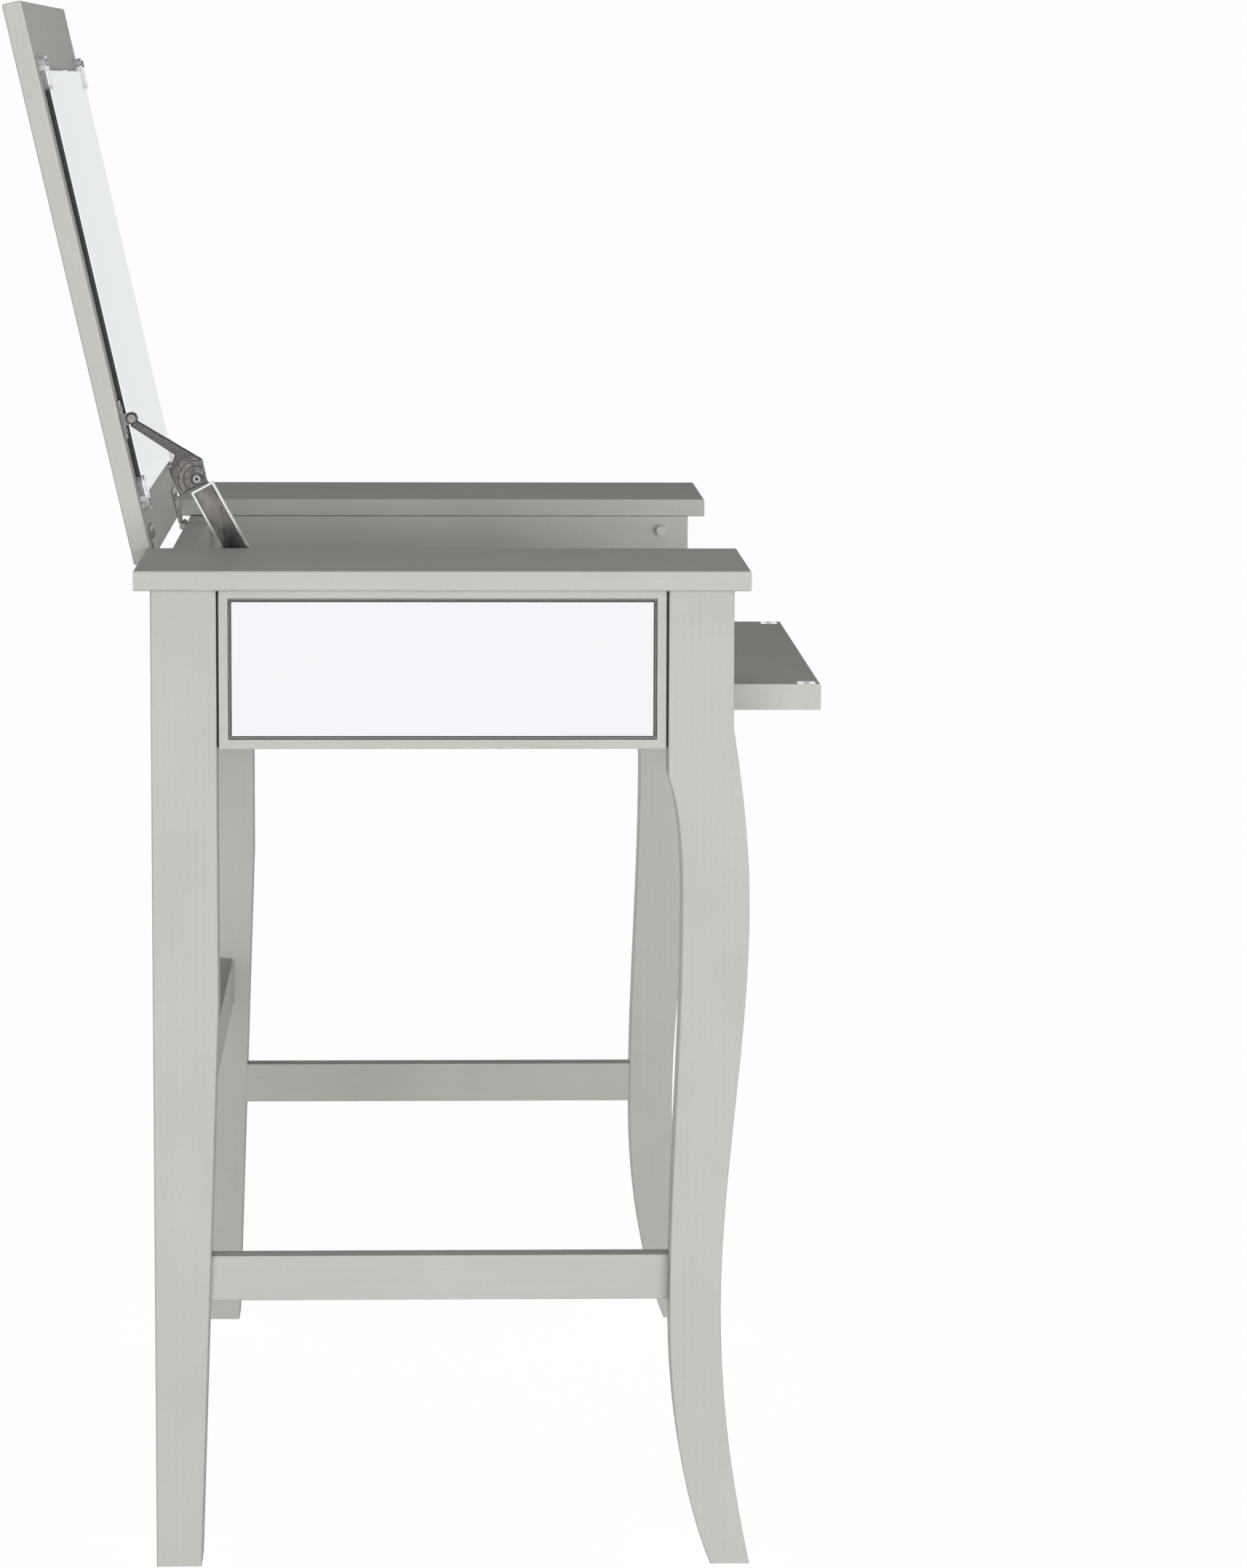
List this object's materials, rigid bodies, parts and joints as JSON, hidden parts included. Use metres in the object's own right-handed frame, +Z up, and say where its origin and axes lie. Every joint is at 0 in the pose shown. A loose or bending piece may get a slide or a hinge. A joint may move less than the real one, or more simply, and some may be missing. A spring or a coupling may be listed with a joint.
{
  "type": "vanity table with mirror",
  "caption": "Silver-painted vanity table with a flip-up mirrored lid on a folding stay, a mirrored drop front, mirrored aprons, curved front legs and stretchers.",
  "frame": {"origin": "on the floor, under the middle of the whole table as it stands, lid open and drop front down", "axes": "+Z up, the user sits at the -Y side, +X to the user's right; stored with the lid open on its stay and the drop front down"},
  "size_m": [0.9144, 0.6347, 1.1834],
  "materials": {
    "silver_painted_wood": "satin metallic paint",
    "mirror_glass": "mirror with polished green-grey edge",
    "bare_wood": "unfinished",
    "screw_steel": "zinc plated",
    "zinc_steel": "zinc plated",
    "dark_casting": "dark plated casting",
    "clip_plastic": "clear moulded plastic",
    "catch_plastic": "plastic catch"
  },
  "bodies": {
    "frame": {"leg_front_left": "silver_painted_wood", "leg_back_left": "silver_painted_wood", "side_apron_left": "silver_painted_wood", "side_mirror_left": "mirror_glass", "side_stretcher_left": "silver_painted_wood", "partition_left": "silver_painted_wood", "front_panel_left": "silver_painted_wood", "front_mirror_left": "mirror_glass", "top_cleats_left": "bare_wood", "top_screws_left": "screw_steel", "side_top_left": "silver_painted_wood", "leg_front_right": "silver_painted_wood", "leg_back_right": "silver_painted_wood", "side_apron_right": "silver_painted_wood", "side_mirror_right": "mirror_glass", "side_stretcher_right": "silver_painted_wood", "partition_right": "silver_painted_wood", "front_panel_right": "silver_painted_wood", "front_mirror_right": "mirror_glass", "top_cleats_right": "bare_wood", "top_screws_right": "screw_steel", "side_top_right": "silver_painted_wood", "stay_wall_bracket": "zinc_steel", "rear_stretcher": "silver_painted_wood", "rear_apron": "silver_painted_wood", "well_floor": "silver_painted_wood", "front_rail": "silver_painted_wood", "lid_hinge_fixed_leaves": "zinc_steel", "lid_hinge_fixed_screws": "screw_steel", "catch_pegs": "catch_plastic", "drop_front_pins": "zinc_steel"},
    "lid": {"lid_panel": "silver_painted_wood", "lid_mirror": "mirror_glass", "mirror_clips": "clip_plastic", "mirror_clip_screws": "screw_steel", "lid_hinge_lid_leaves": "zinc_steel", "lid_hinge_lid_screws": "screw_steel", "stay_lid_bracket_screws": "screw_steel", "stay_lid_bracket": "zinc_steel", "stay_lid_pin": "zinc_steel"},
    "drop_front": {"drop_front_panel": "silver_painted_wood", "drop_front_mirror": "mirror_glass", "strike_plates": "zinc_steel", "strike_screws": "screw_steel"},
    "stay_lower": {"stay_lower_arm": "zinc_steel"},
    "stay_upper": {"stay_upper_arm": "dark_casting", "stay_elbow_pin": "zinc_steel"}
  },
  "joints": [
    {"name": "lid_hinge", "type": "hinge", "parent": "frame", "child": "lid", "pos_m": [0, 0.2007, 0.7445], "axis": [1, 0, 0], "range_deg": [0, 102.8]},
    {"name": "drop_front_hinge", "type": "hinge", "parent": "frame", "child": "drop_front", "pos_m": [0, -0.2223, 0.6505], "axis": [-1, 0, 0], "range_deg": [0, 90]},
    {"name": "stay_wall_pivot", "type": "hinge", "parent": "frame", "child": "stay_lower", "pos_m": [-0.2374, 0.12268, 0.72762], "axis": [1, 0, 0], "range_deg": [0, 138.36]},
    {"name": "stay_lid_pivot", "type": "hinge", "parent": "lid", "child": "stay_upper", "pos_m": [-0.24775, 0.22062, 0.86242], "axis": [-1, 0, 0], "range_deg": [0, 105.89]}
  ],
  "couplings": [
    {"joint": "stay_wall_pivot", "follows": "lid_hinge", "ratio": 1.3459},
    {"joint": "stay_lid_pivot", "follows": "lid_hinge", "ratio": 1.03}
  ]
}
